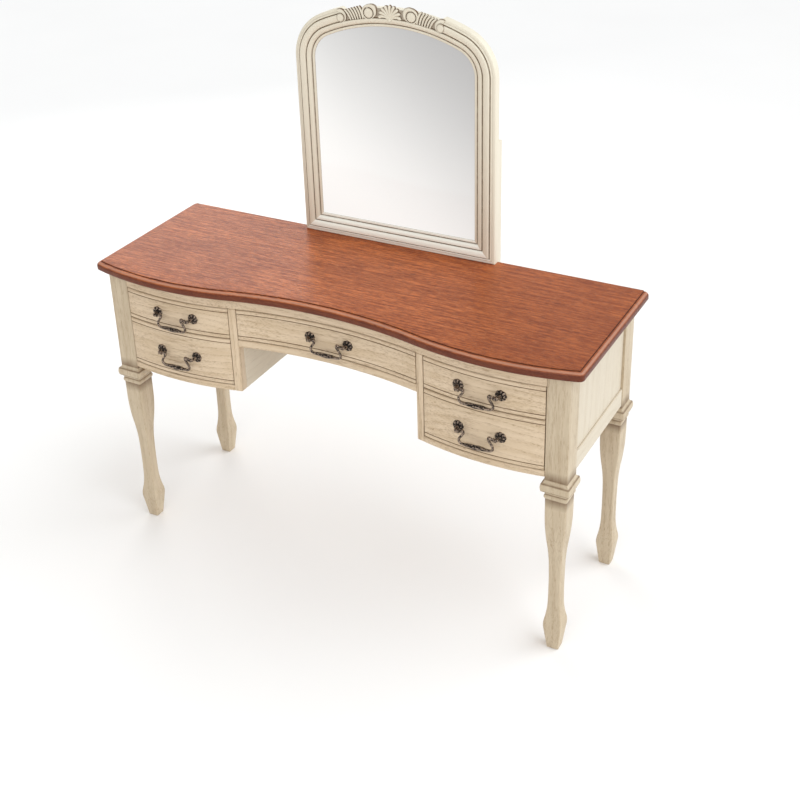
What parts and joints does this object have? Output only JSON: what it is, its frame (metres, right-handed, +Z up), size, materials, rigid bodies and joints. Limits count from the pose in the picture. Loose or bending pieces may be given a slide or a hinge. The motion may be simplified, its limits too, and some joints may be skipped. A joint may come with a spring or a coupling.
{
  "type": "vanity table with mirror",
  "caption": "Dressing table with a bowed serpentine front, flush drawers with bail handles, carved square legs, an oak top and a fixed arched mirror.",
  "frame": {"origin": "bottom centre of the whole object, on the floor between the four feet", "axes": "+Z up; the drawers and the mirror face -Y; +X is to the right for someone who sits at the table"},
  "size_m": [1.2, 0.4299, 1.287],
  "materials": {
    "stained_oak": "oak stained red-brown under a satin clear coat",
    "cream_paint": "antique cream paint over open oak grain, dark glaze in the grooves",
    "frame_paint": "off-white paint with grey-brown glaze in the grooves",
    "bare_wood": "clear sealed pale wood",
    "fibre_board": "plain brown fibre board",
    "mirror_glass": "silvered glass",
    "aged_bronze": "dark antique bronze, lighter on worn edges",
    "zinc_steel": "zinc-plated wood screws"
  },
  "bodies": {
    "table": {"back_panels": "cream_paint", "back_rail": "cream_paint", "batten_screws": "zinc_steel", "case_bottoms": "bare_wood", "centre_rail": "cream_paint", "drawer_runners": "bare_wood", "front_top_rail": "cream_paint", "knee_panel_left": "cream_paint", "knee_panel_right": "cream_paint", "leg_front_left": "cream_paint", "leg_front_right": "cream_paint", "leg_rear_left": "cream_paint", "leg_rear_right": "cream_paint", "lower_front_rail_left": "cream_paint", "lower_front_rail_right": "cream_paint", "mirror_arch": "frame_paint", "mirror_back_board": "fibre_board", "mirror_batten_left": "frame_paint", "mirror_batten_right": "frame_paint", "mirror_bottom_rail": "frame_paint", "mirror_crest": "frame_paint", "mirror_glass": "mirror_glass", "mirror_stile_left": "frame_paint", "mirror_stile_right": "frame_paint", "side_lower_rail_left": "cream_paint", "side_lower_rail_right": "cream_paint", "side_panel_left": "cream_paint", "side_panel_right": "cream_paint", "side_top_rails": "cream_paint", "stile_left": "cream_paint", "stile_right": "cream_paint", "table_top": "stained_oak", "top_cleats": "bare_wood", "top_screws": "zinc_steel"},
    "drawer_upper_left": {"drawer_front_upper_left": "cream_paint", "drawer_walls_upper_left": "bare_wood", "drawer_bottom_upper_left": "bare_wood", "handle_posts_upper_left": "aged_bronze"},
    "bail_upper_left": {"bail_upper_left": "aged_bronze"},
    "drawer_lower_left": {"drawer_front_lower_left": "cream_paint", "drawer_walls_lower_left": "bare_wood", "drawer_bottom_lower_left": "bare_wood", "handle_posts_lower_left": "aged_bronze"},
    "bail_lower_left": {"bail_lower_left": "aged_bronze"},
    "drawer_centre": {"drawer_front_centre": "cream_paint", "drawer_walls_centre": "bare_wood", "drawer_bottom_centre": "bare_wood", "handle_posts_centre": "aged_bronze"},
    "bail_centre": {"bail_centre": "aged_bronze"},
    "drawer_upper_right": {"drawer_front_upper_right": "cream_paint", "drawer_walls_upper_right": "bare_wood", "drawer_bottom_upper_right": "bare_wood", "handle_posts_upper_right": "aged_bronze"},
    "bail_upper_right": {"bail_upper_right": "aged_bronze"},
    "drawer_lower_right": {"drawer_front_lower_right": "cream_paint", "drawer_walls_lower_right": "bare_wood", "drawer_bottom_lower_right": "bare_wood", "handle_posts_lower_right": "aged_bronze"},
    "bail_lower_right": {"bail_lower_right": "aged_bronze"}
  },
  "joints": [
    {"name": "upper_left_drawer_slide", "type": "slide", "parent": "table", "child": "drawer_upper_left", "axis": [0, -1, 0], "range_m": [0, 0.25]},
    {"name": "upper_left_bail_swing", "type": "hinge", "parent": "drawer_upper_left", "child": "bail_upper_left", "pos_m": [-0.381, -0.20466, 0.627], "axis": [-1, 0, 0], "range_deg": [0, 85]},
    {"name": "lower_left_drawer_slide", "type": "slide", "parent": "table", "child": "drawer_lower_left", "axis": [0, -1, 0], "range_m": [0, 0.25]},
    {"name": "lower_left_bail_swing", "type": "hinge", "parent": "drawer_lower_left", "child": "bail_lower_left", "pos_m": [-0.381, -0.20466, 0.528], "axis": [-1, 0, 0], "range_deg": [0, 85]},
    {"name": "centre_drawer_slide", "type": "slide", "parent": "table", "child": "drawer_centre", "axis": [0, -1, 0], "range_m": [0, 0.25]},
    {"name": "centre_bail_swing", "type": "hinge", "parent": "drawer_centre", "child": "bail_centre", "pos_m": [0, -0.15685, 0.627], "axis": [-1, 0, 0], "range_deg": [0, 85]},
    {"name": "upper_right_drawer_slide", "type": "slide", "parent": "table", "child": "drawer_upper_right", "axis": [0, -1, 0], "range_m": [0, 0.25]},
    {"name": "upper_right_bail_swing", "type": "hinge", "parent": "drawer_upper_right", "child": "bail_upper_right", "pos_m": [0.381, -0.20466, 0.627], "axis": [-1, 0, 0], "range_deg": [0, 85]},
    {"name": "lower_right_drawer_slide", "type": "slide", "parent": "table", "child": "drawer_lower_right", "axis": [0, -1, 0], "range_m": [0, 0.25]},
    {"name": "lower_right_bail_swing", "type": "hinge", "parent": "drawer_lower_right", "child": "bail_lower_right", "pos_m": [0.381, -0.20466, 0.528], "axis": [-1, 0, 0], "range_deg": [0, 85]}
  ]
}
